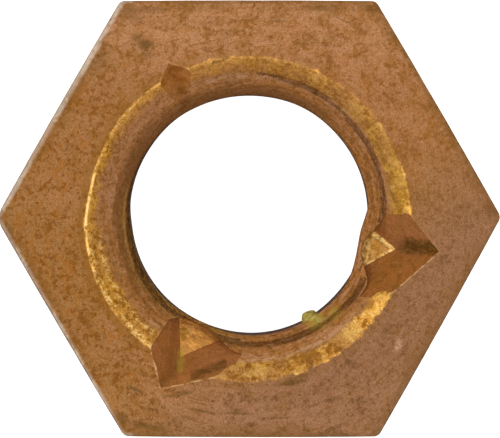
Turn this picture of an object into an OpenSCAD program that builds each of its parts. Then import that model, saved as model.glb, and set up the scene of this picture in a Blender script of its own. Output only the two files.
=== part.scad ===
// Hexagonal lock nut, turned from hexagon bar and staked on its top face.
// Triangular stake marks push the first threads inwards, so that the nut
// grips its bolt. Origin: centre of the bearing face, on the thread axis.
// +Z points to the staked face, and two corners of the hexagon lie on X.
// Bearings and headings are angles from +X, anticlockwise seen from above.

/* [Hexagon] */
// Width across the flats (9/16 in)
across_flats = 14.2875; // [14.1:0.0125:14.35]
// Width across the corners, after the bar's own corner rounding
across_corners = 16.34; // [16:0.02:16.4]
// Height from the bearing face to the staked face
nut_height = 8.33; // [8.1:0.01:9.5]
// Diameter of the flat ring left by the corner chamfer on the bearing face
bearing_diameter = 13.6; // [12.6:0.1:14]
// Slope of the corner chamfer above the bearing face, in degrees
chamfer_angle = 30; // [20:1:40]

/* [Thread] */
// Major diameter of the thread (3/8 in)
thread_major = 9.525; // [9.4:0.005:9.6]
// Bore left by the tap drill, which is the thread's minor diameter
thread_minor = 7.976; // [7.8:0.004:8.15]
// Axial distance between neighbouring threads (16 per inch)
thread_pitch = 1.5875; // [1.4:0.0125:1.8]
// Number of thread grooves, counted down from the staked face
thread_grooves = 5; // [3:1:5]
// Depth of the first groove's middle below the staked face
first_depth = 1.05; // [0.95:0.01:1.15]

/* [Countersinks] */
// Diameter of the countersink's mouth in the staked face
top_mouth = 10.66; // [10.2:0.02:11]
// Mean slope of that countersink from its mouth to its throat, in degrees
top_slope = 35; // [30:1:40]
// Diameter at which that countersink turns steeper
throat_diameter = 9.6; // [9.2:0.05:9.9]
// Slope of that countersink below its throat, in degrees
throat_slope = 49; // [44:1:55]
// Width of the shallower rim at the mouth of that countersink
rim_width = 0.16; // [0.08:0.01:0.25]
// Diameter of the countersink's mouth in the bearing face
bottom_mouth = 10.2; // [9.8:0.05:10.6]
// Slope of the countersink in the bearing face, in degrees
bottom_slope = 45; // [35:1:50]

/* [Stake marks] */
// Angle between the two edges that leave a mark's tip, in degrees
mark_opening = 99; // [90:1:104]
// Slope of a mark's floor, falling towards the bore, in degrees
floor_slope = 13; // [8:1:18]
// Radius of the rounded swelling that a mark raises on the bore's wall
swell_radius = 1.6; // [1.3:0.05:1.8]
// Mark near +X: tip distance from the axis
mark_a_tip = 6.27; // [6:0.01:6.4]
// Mark near +X: bearing of its tip, in degrees
mark_a_angle = -10; // [-20:1:0]
// Mark near +X: direction its tip points in, in degrees
mark_a_heading = -6; // [-12:0.5:4]
// Mark near +X: length of its valley, seen from above
mark_a_valley = 1.38; // [1.1:0.01:1.5]
// Mark near +X: slope of its valley, in degrees
mark_a_slope = 42; // [36:1:46]
// Mark on the -Y side: tip distance from the axis
mark_b_tip = 6.22; // [5.9:0.01:6.35]
// Mark on the -Y side: bearing of its tip, in degrees
mark_b_angle = 242.6; // [230:0.1:250]
// Mark on the -Y side: direction its tip points in, in degrees
mark_b_heading = 239; // [230:0.5:246]
// Mark on the -Y side: length of its valley, seen from above
mark_b_valley = 1.15; // [0.9:0.01:1.3]
// Mark on the -Y side: slope of its valley, in degrees
mark_b_slope = 46; // [40:1:50]
// Mark on the +Y side: tip distance from the axis
mark_c_tip = 5.68; // [5.5:0.01:6]
// Mark on the +Y side: bearing of its tip, in degrees
mark_c_angle = 117.2; // [110:0.1:125]
// Mark on the +Y side: direction its tip points in, in degrees
mark_c_heading = 114; // [108:0.5:124]
// Mark on the +Y side: length of its valley, seen from above
mark_c_valley = 1.4; // [1.2:0.01:1.6]
// Mark on the +Y side: slope of its valley, in degrees
mark_c_slope = 37; // [34:1:40]

/* [Deposit] */
// Bearing of the green corrosion deposit in the bore, in degrees
deposit_angle = -57; // [-80:1:-30]
// Depth of the deposit's first lump below the staked face
deposit_depth = 1.55; // [1.4:0.05:1.7]

/* [Hidden] */
$fn = 96;

metal_color = [0.66, 0.45, 0.29];
deposit_color = [0.52, 0.50, 0.20];

// How far cutting shapes run past the end faces
cut_margin = 1;

corner_r = across_corners / 2;
// Corner radius of the sharp hexagon, before its corners are rounded
sharp_corner_r = across_flats / 2 / cos(30);
chamfer_rise = (corner_r - bearing_diameter / 2) * tan(chamfer_angle);

minor_r = thread_minor / 2;
major_r = thread_major / 2;
top_r = top_mouth / 2;
throat_r = throat_diameter / 2;
bottom_r = bottom_mouth / 2;

// Axial depths from the nearer end face
rim_depth = rim_width * tan(top_slope / 2);
throat_depth = (top_r - throat_r) * tan(top_slope);
top_depth = throat_depth + (throat_r - minor_r) * tan(throat_slope);
bottom_depth = (bottom_r - minor_r) * tan(bottom_slope);

// Half-width of a 60 degree groove at its root and at the tap-drill bore,
// and the height of the crown that closes the root
groove_root = thread_pitch / 16;
groove_mouth = groove_root + (major_r - minor_r) * tan(30);
root_crown = 0.04;
// How far a groove's cutting shape reaches inside the bore
groove_overlap = 0.3;

// Length of a punch from its tip, enough to end inside the bore
punch_reach = 3.4;
// Depth of the swellings' centres below the staked face
swell_depth = 2.35;
// Distance from a valley's end to the floor point that its swelling faces
swell_offset = 0.6;

// Columns of MARKS; SWELL is how far the wall swells into the bore
TIP_R = 0;
TIP_BEARING = 1;
HEADING = 2;
VALLEY = 3;
SLOPE = 4;
SWELL = 5;
MARKS = [
    [mark_a_tip, mark_a_angle, mark_a_heading, mark_a_valley, mark_a_slope, 0.19],
    [mark_b_tip, mark_b_angle, mark_b_heading, mark_b_valley, mark_b_slope, 0.10],
    [mark_c_tip, mark_c_angle, mark_c_heading, mark_c_valley, mark_c_slope, 0.04],
];

// Lumps of the deposit: bearing offset, radius from the axis, height offset,
// ball radius
LUMPS = [
    [0,   minor_r + 0.11, 0,    0.29],
    [3.0, minor_r + 0.30, 0.14, 0.30],
    [8.0, minor_r + 0.38, 0.24, 0.22],
];

// Point in the XY plane at a radius and bearing
function polar(radius, bearing) = [radius * cos(bearing), radius * sin(bearing)];

function tip_point(mark) = polar(mark[TIP_R], mark[TIP_BEARING]);

// Point on a mark's floor, a little inwards of its valley's end
function floor_point(mark) =
    tip_point(mark) - polar(mark[VALLEY] + swell_offset, mark[HEADING]);

// Hexagon bar with its corners rounded by the stock and chamfered below
module hexagon_blank() {
    intersection() {
        cylinder(h = nut_height, r = sharp_corner_r, $fn = 6);
        rotate_extrude()
            polygon([
                [0, 0],
                [bearing_diameter / 2, 0],
                [corner_r, chamfer_rise],
                [corner_r, nut_height],
                [0, nut_height],
            ]);
    }
}

// Tap-drill bore and both countersinks, revolved in one profile
module bore_and_countersinks() {
    rotate_extrude()
        polygon([
            [0, -cut_margin],
            [bottom_r, -cut_margin],
            [bottom_r, 0],
            [minor_r, bottom_depth],
            [minor_r, nut_height - top_depth],
            [throat_r, nut_height - throat_depth],
            [top_r - rim_width, nut_height - rim_depth],
            [top_r, nut_height],
            [top_r, nut_height + cut_margin],
            [0, nut_height + cut_margin],
        ]);
}

// One closed groove, centred on Z = 0
module thread_groove() {
    rotate_extrude()
        polygon([
            [minor_r - groove_overlap, -groove_mouth],
            [minor_r, -groove_mouth],
            [major_r - root_crown, -groove_root],
            [major_r, 0],
            [major_r - root_crown, groove_root],
            [minor_r, groove_mouth],
            [minor_r - groove_overlap, groove_mouth],
        ]);
}

// The thread, as separate rings rather than a helix
module thread_stack() {
    for (i = [0 : thread_grooves - 1])
        translate([0, 0, nut_height - first_depth - i * thread_pitch])
            thread_groove();
}

// Cuts the countersunk and threaded hole out of its children
module threaded() {
    difference() {
        children();
        bore_and_countersinks();
        thread_stack();
    }
}

// The punch that leaves one mark. In its own frame the tip is at the origin,
// X runs inwards along the valley, and the face it is driven into is Z = 0.
module punch(valley, slope) {
    half_opening = tan(mark_opening / 2);
    valley_z = -valley * tan(slope);
    // the floor starts at the valley's end and falls on towards the bore
    floor_z = valley_z - (punch_reach - valley) * tan(floor_slope);
    floor_y = half_opening * (punch_reach + floor_z / tan(slope));
    overrun = cut_margin / tan(slope);
    top_y = half_opening * (punch_reach + overrun);
    polyhedron(
        points = [
            [valley, 0, valley_z],
            [punch_reach, floor_y, floor_z],
            [punch_reach, -floor_y, floor_z],
            [punch_reach, top_y, cut_margin],
            [punch_reach, -top_y, cut_margin],
            [-overrun, 0, cut_margin],
        ],
        faces = [
            [0, 1, 2],     // floor
            [0, 5, 3, 1],  // +Y flank
            [0, 2, 4, 5],  // -Y flank
            [1, 3, 4, 2],  // inner end
            [3, 5, 4],     // top
        ]
    );
}

module stake_marks() {
    for (mark = MARKS)
        translate([tip_point(mark).x, tip_point(mark).y, nut_height])
            rotate([0, 0, mark[HEADING] + 180])
                punch(mark[VALLEY], mark[SLOPE]);
}

// Metal that each mark squeezes into the bore, as part of a ball's surface
module swellings() {
    for (mark = MARKS)
        rotate([0, 0, atan2(floor_point(mark).y, floor_point(mark).x)])
            translate([
                minor_r - mark[SWELL] + swell_radius,
                0,
                nut_height - swell_depth
            ])
                sphere(r = swell_radius);
}

module hex_nut_body() {
    color(metal_color)
        difference() {
            union() {
                threaded() hexagon_blank();
                swellings();
            }
            stake_marks();
        }
}

// Small lump of green corrosion that clings to the first groove's lower edge,
// trimmed to fit the threaded wall
module verdigris_deposit() {
    color(deposit_color)
        difference() {
            union()
                for (lump = LUMPS)
                    rotate([0, 0, deposit_angle + lump[0]])
                        translate([lump[1], 0, nut_height - deposit_depth + lump[2]])
                            sphere(r = lump[3]);
            threaded() cylinder(h = nut_height, r = sharp_corner_r);
        }
}

hex_nut_body();
verdigris_deposit();
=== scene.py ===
"""A hex lock nut staked in three places: detailed meshes and procedural materials.

The nut stands on its bearing face at z = 0, with its axis on +Z and two corners close to the
X axis. Three punch marks on the top face squeeze the thread, and a lump of verdigris sits in
the bore. Lengths are in millimetres until a mesh is finished. Bearings are in degrees from +X
towards +Y. Left, right, upper and lower are as seen from above, with +X right and +Y up.
"""
import math
import bmesh
import bpy
import numpy as np
from mathutils import Matrix, Vector, noise


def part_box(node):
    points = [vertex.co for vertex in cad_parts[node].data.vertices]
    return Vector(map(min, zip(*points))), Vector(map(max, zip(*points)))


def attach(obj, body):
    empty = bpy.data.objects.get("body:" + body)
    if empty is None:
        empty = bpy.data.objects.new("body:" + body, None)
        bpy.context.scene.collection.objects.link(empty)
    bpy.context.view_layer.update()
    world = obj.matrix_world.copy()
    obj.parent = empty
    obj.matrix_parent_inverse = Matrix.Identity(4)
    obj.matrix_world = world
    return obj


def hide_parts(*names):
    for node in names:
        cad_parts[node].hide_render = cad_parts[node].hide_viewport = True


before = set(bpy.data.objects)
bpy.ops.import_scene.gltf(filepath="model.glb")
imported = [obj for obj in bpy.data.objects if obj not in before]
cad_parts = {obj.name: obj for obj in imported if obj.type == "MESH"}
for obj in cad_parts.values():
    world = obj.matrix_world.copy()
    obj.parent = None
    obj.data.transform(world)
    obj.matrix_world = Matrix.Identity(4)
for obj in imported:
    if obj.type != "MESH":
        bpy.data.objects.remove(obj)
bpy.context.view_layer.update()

# ---------------------------------------------------------------- dimensions
nut_low, nut_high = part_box("hex_nut_body")
HEIGHT = nut_high[2] * 1000.0
APOTHEM = (nut_high[1] - nut_low[1]) * 500.0
MINOR = 3.988           # bore radius
MAJOR = 4.7625          # radius of the thread's root
PITCH = 1.5875
BEARING_FACE = 6.8      # radius of the face the nut stands on
TAN30 = math.tan(math.radians(30))

# Middle of the first groove: its depth below the top face at one bearing
THREAD_DEPTH, THREAD_BEARING = 0.74, 30
# The first groove opens into the countersink: radius at one depth, and depth per radius
OPENING_RADIUS, OPENING_DEPTH, OPENING_SLOPE = 4.8, 0.455, 1.727

# Kinds of surface, stored on every face as the attribute "zone"
BLANK, THREAD, FLANK, FLOOR, RIDGE = range(5)

# Corners of the slightly uneven hexagon: x, y, radius of the worn corner
CORNERS = [
    (8.280, 0.040, 0.30),
    (4.178, 7.122, 0.25),
    (-4.215, 7.125, 0.26),
    (-8.300, 0.010, 0.72),
    (-4.085, -7.158, 0.32),
    (4.255, -7.165, 0.28),
]
CORNER_STEPS, SIDE_STEPS = 12, 68

# Stake marks. tip: radius and bearing of the outer tip; heading: bearing the tip points to;
# valley: length; slopes of valley and floor in degrees; half_angles: opening right and left of
# the way inwards; spread: where the flanks end on those sides; lip: height of metal pushed up;
# ridge: (bearing, radius) of the ridge the flanks stop at
MARKS = [
    dict(tip=(6.29, -10.0), heading=-3.0, valley=1.35, valley_slope=39.5, floor_slope=17,
         half_angles=(49, 44.2), spread=(-1.27, 1.62), lip=0.035,
         ridge=((-44, 4.40), (-38, 4.46), (-32, 4.50), (-28, 4.44), (-25, 4.28), (-22.6, 4.08),
                (-20, 3.95), (-17, 3.86), (-14, 3.81), (-11, 3.84), (-8, 3.97), (-6.3, 4.09),
                (-3.5, 4.26), (0, 4.42), (3, 4.54), (8, 4.56), (14, 4.55))),
    dict(tip=(6.24, 242.6), heading=237.2, valley=1.15, valley_slope=45.0, floor_slope=19,
         half_angles=(45.5, 46), spread=(-1.66, 0.98), lip=0.04,
         ridge=((-140, 4.25), (-135, 4.38), (-130.5, 4.44), (-128.5, 4.28), (-126.3, 4.06),
                (-124, 3.93), (-120, 3.85), (-116, 3.83), (-111, 3.87), (-106, 3.98),
                (-102.5, 4.14), (-99, 4.32), (-96, 4.45), (-92, 4.50), (-84, 4.42))),
    dict(tip=(5.70, 117.3), heading=114.0, valley=1.45, valley_slope=36.7, floor_slope=20,
         half_angles=(48, 48), spread=(-0.80, 0.80), lip=0.02, ridge=None),
]

# Upper countersink: radius, depth below the top face
SINK = ((3.996, 1.285), (4.02, 1.245), (4.06, 1.19), (4.12, 1.115), (4.20, 1.02), (4.29, 0.915),
        (4.38, 0.81), (4.47, 0.707), (4.56, 0.607), (4.65, 0.513), (4.74, 0.428), (4.83, 0.352),
        (4.92, 0.283), (5.00, 0.222), (5.07, 0.170), (5.13, 0.126), (5.185, 0.088),
        (5.235, 0.056), (5.28, 0.031), (5.325, 0.014), (5.38, 0.004), (5.45, 0.0))


# -------------------------------------------------------------------- helpers
def mesh_object(name, verts, faces):
    mesh = bpy.data.meshes.new(name)
    mesh.from_pydata([tuple(map(float, v)) for v in verts], [],
                     [tuple(map(int, f)) for f in faces])
    mesh.update()
    ob = bpy.data.objects.new(name, mesh)
    bpy.context.scene.collection.objects.link(ob)
    return ob


def set_zone(ob, zone):
    """Mark every face of a mesh with its kind of surface."""
    mesh = ob.data
    attribute = mesh.attributes.new("zone", "FLOAT", "FACE")
    attribute.data.foreach_set("value", np.full(len(mesh.polygons), float(zone), np.float32))


def coords(mesh):
    flat = np.empty(len(mesh.vertices) * 3, np.float32)
    mesh.vertices.foreach_get("co", flat)
    return flat.reshape(-1, 3).astype(float)


def set_coords(mesh, verts):
    mesh.vertices.foreach_set("co", verts.astype(np.float32).ravel())
    mesh.update()


def evaluated_mesh(ob, **options):
    """The object's mesh with its modifiers applied; the modifiers are then removed."""
    depsgraph = bpy.context.evaluated_depsgraph_get()
    mesh = bpy.data.meshes.new_from_object(ob.evaluated_get(depsgraph), depsgraph=depsgraph,
                                           **options)
    ob.modifiers.clear()
    return mesh


def finish_mesh(mesh):
    """From millimetres to metres, shaded smooth."""
    mesh.transform(Matrix.Scale(0.001, 4))
    for face in mesh.polygons:
        face.use_smooth = True


def smooth(start, end, value):
    """Smooth step from 0 at start to 1 at end."""
    t = np.clip((np.asarray(value, float) - start) / (end - start), 0, 1)
    return t * t * (3 - 2 * t)


def lobe(bearing, centre, ahead, behind=None):
    """A smooth lobe round the axis, 1 at centre and 0 past its widths either way."""
    offset = (np.asarray(bearing) - centre + 180) % 360 - 180
    width = np.where(offset > 0, ahead, ahead if behind is None else behind)
    t = np.clip(1 - np.abs(offset) / width, 0, 1)
    return t ** 2 * (3 - 2 * t)


def noise_at(x, y, z):
    return noise.noise(Vector((x, y, z)))


def opening_radius(depth):
    """Radius at which the first groove opens into the countersink; takes shader fields too."""
    return OPENING_RADIUS - (depth - OPENING_DEPTH) / OPENING_SLOPE


# ------------------------------------------------------------- hexagon outline
def outline():
    """Closed ring of points round the hexagon, with worn corners and bowed sides."""
    bow_height, wave_height = 0.022, 0.007
    points = []
    corners = [np.array(row[:2]) for row in CORNERS]
    for i, here in enumerate(corners):
        follow = (i + 1) % len(corners)
        after, before = corners[follow], corners[i - 1]
        rounding, rounding_after = CORNERS[i][2], CORNERS[follow][2]
        way_in = (here - before) / np.linalg.norm(here - before)
        way_out = (after - here) / np.linalg.norm(after - here)
        turn = math.acos(np.clip(way_in @ way_out, -1, 1))
        trim = rounding * math.tan(turn / 2)
        start = here - way_in * trim
        centre = start + np.array([-way_in[1], way_in[0]]) * rounding
        first = math.atan2(*(start - centre)[::-1])
        for k in range(CORNER_STEPS):
            angle = first + turn * k / CORNER_STEPS
            points.append(centre + rounding * np.array([math.cos(angle), math.sin(angle)]))
        trim_after = rounding_after * math.tan(turn / 2)
        side_start, side_end = here + way_out * trim, after - way_out * trim_after
        outward = np.array([way_out[1], -way_out[0]])
        for k in range(SIDE_STEPS):
            s = k / SIDE_STEPS
            bow = bow_height * (1 - (2 * s - 1) ** 2)
            point = side_start + (side_end - side_start) * s
            wave = wave_height * noise_at(point[0] * 1.3, point[1] * 1.3, 3.1)
            points.append(point + outward * (bow + wave * math.sin(math.pi * s)))
    return np.array(points)


OUTLINE = outline()
COLUMNS = len(OUTLINE)
ANGLES = np.arctan2(OUTLINE[:, 1], OUTLINE[:, 0])
RADII = np.hypot(OUTLINE[:, 0], OUTLINE[:, 1])
BEARINGS = np.degrees(ANGLES) % 360


# ------------------------------------------------------------------ nut blank
def mouth_offset(radius):
    """How far the upper countersink is out of round and off centre, by column."""
    off = smooth(4.2, 5.3, radius) * (0.035 * np.cos(ANGLES - math.radians(215))
                                      + 0.040 * lobe(BEARINGS, 202, 34)
                                      - 0.055 * lobe(BEARINGS, 162, 24))
    off += smooth(4.6, 5.35, radius) * np.array([
        0.025 * noise_at(2.2 * math.cos(a), 2.2 * math.sin(a), 7)
        + 0.014 * noise_at(9 * math.cos(a), 9 * math.sin(a), 1) for a in ANGLES])
    return off


def edge_nicks():
    """Depth of the random nicks along the top edge, by column."""
    rng = np.random.default_rng(11)
    nick = np.zeros(COLUMNS)
    for _ in range(26):
        bearing, width = rng.uniform(0, 360), rng.uniform(0.9, 2.6)
        nick = np.maximum(nick, rng.uniform(0.012, 0.06) * lobe(BEARINGS, bearing, width))
    return nick


def nut_blank():
    """The turned and countersunk nut, as rings of points that close on themselves."""
    rings = []

    def ring(radius, z):
        rings.append(np.column_stack([radius * np.cos(ANGLES), radius * np.sin(ANGLES),
                                      np.full(COLUMNS, z, float)]))

    # lower countersink, from the bearing face up to the bore
    cone_radius, cone_z, cone_rise = 5.06, 0.045, 1.05
    ring(5.12, 0.0)
    ring(5.08, 0.025)
    for t in (0.15, 0.4, 0.7, 0.9):
        ring(cone_radius + (MINOR - cone_radius) * t, cone_z + cone_rise * t)
    ring(MINOR + 0.02, 1.085)

    bore_low, bore_high, bore_rings = 1.16, HEIGHT - 1.33, 34
    for i in range(bore_rings):
        ring(MINOR, bore_low + (bore_high - bore_low) * i / (bore_rings - 1))

    # bell-mouthed upper countersink, steeper at the bottom
    for radius, depth in SINK:
        mouth = radius + mouth_offset(radius)
        ring(mouth, HEIGHT - depth)

    # top face out to the rounded edge
    edge = 0.045 + 0.026 * lobe(BEARINGS, 180, 80) + 0.01 * lobe(BEARINGS, 320, 50)
    edge = edge + 0.012 * np.array([noise_at(p[0] * 2.1, p[1] * 2.1, 9) for p in OUTLINE])
    face_rings = 26
    for i in range(1, face_rings):
        f = i / face_rings
        f = f + 0.10 * math.sin(math.pi * f) * (1 - f)
        ring(mouth + (RADII - edge - mouth) * f, HEIGHT)
    nick = edge_nicks()
    for k in range(8):
        q = math.radians(90 * k / 7)
        dent = nick * math.sin(math.pi * min(1, k / 7 + 0.12)) ** 0.7
        ring(RADII - edge + edge * math.sin(q) - dent * math.sin(q) * 0.8,
             HEIGHT - edge + edge * math.cos(q) - dent * math.cos(q))

    # side walls down to the corner chamfer
    foot = (RADII - BEARING_FACE) * TAN30
    wall_rings = 18
    for i in range(1, wall_rings + 1):
        f = i / wall_rings
        ring(RADII - nick * 0.5 * max(0, 1 - f * 6),
             (HEIGHT - edge) * (1 - f) + (foot + 0.06) * f)
    ring(RADII - 0.008, foot + 0.02)
    ring(RADII - 0.03, foot - 0.02)

    # corner chamfer and bearing face
    for t in (0.12, 0.32, 0.55, 0.78, 0.93):
        ring(RADII + (BEARING_FACE - RADII) * t, foot * (1 - t))
    ring(BEARING_FACE - 0.02, 0.004)
    ring(BEARING_FACE - 0.08, 0.0)
    for radius in (6.4, 6.0, 5.65, 5.35, 5.2):
        ring(radius, 0.0)

    faces = []
    for i in range(len(rings)):
        here, above = i * COLUMNS, ((i + 1) % len(rings)) * COLUMNS
        for j in range(COLUMNS):
            k = (j + 1) % COLUMNS
            faces.append((here + j, here + k, above + k, above + j))
    return np.vstack(rings), faces


def mark_frame(mark):
    """Tip position and inward direction of a stake mark."""
    radius, bearing = mark["tip"]
    a, heading = math.radians(bearing), math.radians(mark["heading"])
    tip = np.array([radius * math.cos(a), radius * math.sin(a)])
    return tip, -np.array([math.cos(heading), math.sin(heading)])


def raise_lips(verts):
    """Metal pushed up beside the marks, and slight unevenness of the top face."""
    top = verts[:, 2] > HEIGHT - 0.45
    radius = np.hypot(verts[:, 0], verts[:, 1])
    for mark in MARKS:
        tip, inward = mark_frame(mark)
        offset = verts[:, :2] - tip
        along, side = offset @ inward, offset @ np.array([-inward[1], inward[0]])
        tan_neg, tan_pos = (math.tan(math.radians(q)) for q in mark["half_angles"])
        half = np.where(side < 0, tan_neg, tan_pos)
        # distance outside the pair of surface edges that leave the tip
        edge = (np.abs(side) - np.clip(along, 0, None) * half) * np.cos(np.arctan(half))
        outside = np.where(along < 0, np.hypot(along, side), edge)
        distance = np.where(outside < -0.12, 9.0, np.abs(outside))
        amount = mark["lip"] * np.exp(-(distance / 0.16) ** 2) * smooth(2.6, 1.2, along)
        verts[:, 2] += np.where(top, amount, 0)
    on_top = verts[:, 2] > HEIGHT - 0.004
    for i in np.nonzero(on_top & (radius > 5.3))[0]:
        verts[i, 2] += 0.006 * noise_at(verts[i, 0] * 0.7, verts[i, 1] * 0.7, 5)
    return verts


# Bore wall pushed in by the marks: amount, bearing, width ahead, width behind, power
MARK_PUSHES = ((0.25, -10, 16, 26, 0.7), (0.08, 245, 24, 24, 1), (0.02, 117, 16, 16, 1))
# Slight lobes of the whole bore: amount, bearing, width ahead, width behind
BORE_LOBES = ((0.022, 325, 25, 30), (-0.022, 62, 22, 22), (-0.024, 126, 22, 22))


def swell(verts):
    """The wall squeezed into the bore by the marks, and its slight lobing."""
    radius = np.hypot(verts[:, 0], verts[:, 1])
    bearing = np.degrees(np.arctan2(verts[:, 1], verts[:, 0])) % 360
    depth = HEIGHT - verts[:, 2]
    push = np.zeros(len(verts))
    near = smooth(5.15, 4.3, radius)
    by_depth = smooth(0.2, 1.0, depth) * smooth(4.2, 1.9, depth)
    for amount, centre, ahead, behind, power in MARK_PUSHES:
        push += amount * lobe(bearing, centre, ahead, behind) ** power * by_depth
    deep = smooth(0.4, 1.4, depth)
    push += (0.030 + 0.010 * lobe(bearing, 93, 25)) * deep
    push += 0.058 * smooth(172, 188, bearing) * smooth(285, 238, bearing) * deep
    for amount, centre, ahead, behind in BORE_LOBES:
        push += amount * lobe(bearing, centre, ahead, behind) * deep
    scale = 1 - push * near / np.maximum(radius, 1e-6)
    verts[:, 0] *= scale
    verts[:, 1] *= scale
    # the hole sits a little towards +Y
    verts[:, 1] += 0.075 * (smooth(5.25, 4.6, radius) * smooth(0.0, 0.5, depth))
    return verts


# --------------------------------------------------------------- cutting tools
def sink_depth(radius):
    return float(np.interp(radius, [row[0] for row in SINK], [row[1] for row in SINK]))


def groove_half(radius):
    """Half the width of the V groove at a radius."""
    return PITCH / 16 + (MAJOR - radius) * TAN30


# Lower half of the groove's section: radius, height from its middle
GROOVE_LOW = [(3.63, -0.775), (3.955, -0.615), (4.06, -groove_half(4.06)),
              (MAJOR - 0.05, -groove_half(MAJOR - 0.05)), (MAJOR - 0.008, -0.065)]
GROOVE = GROOVE_LOW + [(MAJOR, 0.0)] + [(r, -z) for r, z in reversed(GROOVE_LOW)]
# Section of the rolled first turn: radius from the opening, depth from the countersink
ROLLED_LINE = ((-0.24, -0.035), (-0.19, 0.005), (-0.13, 0.038), (-0.07, 0.055),
               (-0.01, 0.030), (0.04, -0.03))


def tap():
    """A right-hand V thread as one long ribbed coil, for cutting the bore."""
    steps = 180     # to a turn
    start_z = HEIGHT - THREAD_DEPTH
    first = int(math.floor((-1.2 - start_z) / PITCH * steps))
    last = int(math.ceil((HEIGHT + 1.1 - start_z) / PITCH * steps))
    verts, faces = [], []
    for i in range(first, last + 1):
        a = math.radians(THREAD_BEARING) + 2 * math.pi * i / steps
        z = start_z + PITCH * i / steps
        rough = 0.006 * noise_at(3 * math.cos(a), 3 * math.sin(a), z * 0.8)
        # the first turn was rolled nearly shut: only a narrow line is left of it
        depth = HEIGHT - z
        line = opening_radius(depth)
        rolled = [(3.63, 1.20), (3.955, 1.16)]
        rolled += [(line + dr, sink_depth(line + dr) + dd) for dr, dd in ROLLED_LINE]
        rolled += [(line - 0.03, sink_depth(line) - 0.12), (3.955, 1.02), (3.63, 0.98)]
        closed = float(smooth(1.80, 1.45, depth))
        started = float(smooth(0.36, 0.52, depth))
        for (radius, rise), (rolled_radius, rolled_depth) in zip(GROOVE, rolled):
            radius = radius + (rough if radius > 4.3 else 0)
            rolled_depth -= (1 - started) * 0.5
            reach = radius * (1 - closed) + rolled_radius * closed
            verts.append((reach * math.cos(a), reach * math.sin(a),
                          (z + rise) * (1 - closed) + (HEIGHT - rolled_depth) * closed))
    count, length = len(GROOVE), last - first
    for i in range(length):
        for j in range(count):
            a, b = i * count + j, i * count + (j + 1) % count
            faces.append((a, b, b + count, a + count))
    faces.append(tuple(range(count))[::-1])
    faces.append(tuple(length * count + j for j in range(count)))
    return mesh_object("tap_tool", verts, faces)


def punch(mark, index):
    """Three-sided punch with slightly uneven faces, its tip's line of travel along +X."""
    tan_valley = math.tan(math.radians(mark["valley_slope"]))
    tan_floor = math.tan(math.radians(mark["floor_slope"]))
    tan_neg, tan_pos = (math.tan(math.radians(q)) for q in mark["half_angles"])
    valley = mark["valley"]
    reach, up = 3.2, 0.8
    drop = valley * tan_valley
    low = -drop - (reach - valley) * tan_floor
    # flanks: |y| = tan_neg or tan_pos * (x + z / tan_valley)
    deep, wide = reach + low / tan_valley, reach + up / tan_valley
    points = [(valley, 0, -drop), (reach, tan_pos * deep, low), (reach, -tan_neg * deep, low),
              (reach, tan_pos * wide, up), (reach, -tan_neg * wide, up),
              (-up / tan_valley, 0, up)]
    faces = [(0, 1, 2), (0, 5, 3, 1), (0, 2, 4, 5), (1, 3, 4, 2), (3, 5, 4)]
    ob = mesh_object("punch_tool_%d" % index, points, faces)
    bm = bmesh.new()
    bm.from_mesh(ob.data)
    bmesh.ops.recalc_face_normals(bm, faces=bm.faces)
    zone = bm.faces.layers.float.new("zone")
    for face in bm.faces:
        face[zone] = FLOOR if face.normal.z < -0.9 else FLANK
    for y, way in zip(mark["spread"], (-1, 1)):
        out = bmesh.ops.bisect_plane(bm, geom=bm.verts[:] + bm.edges[:] + bm.faces[:],
                                     plane_co=(0, y, 0), plane_no=(0, way, 0), clear_outer=True)
        rim = [e for e in out["geom_cut"] if isinstance(e, bmesh.types.BMEdge)]
        for face in bmesh.ops.contextual_create(bm, geom=rim)["faces"]:
            face[zone] = FLANK
    bmesh.ops.recalc_face_normals(bm, faces=bm.faces)
    bmesh.ops.triangulate(bm, faces=bm.faces)
    for _ in range(6):
        bmesh.ops.subdivide_edges(bm, edges=bm.edges, cuts=1, use_grid_fill=True)
    for v in bm.verts:
        p = Vector((v.co.x * 1.7, v.co.y * 1.7, v.co.z * 1.7 + 20 * index))
        v.co.z += (0.040 * noise.noise(p) + 0.018 * noise.noise(p * 3.1)
                   + 0.006 * noise.noise(p * 9.0))
        v.co.y += 0.030 * noise.noise(p + Vector((31, 7, 3))) + 0.012 * noise.noise(p * 3.7)
    bmesh.ops.triangulate(bm, faces=bm.faces)
    bm.to_mesh(ob.data)
    bm.free()
    tip, inward = mark_frame(mark)
    ob.data.transform(Matrix.Translation((tip[0], tip[1], HEIGHT))
                      @ Matrix.Rotation(math.atan2(inward[1], inward[0]), 4, "Z"))
    return ob


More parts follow.
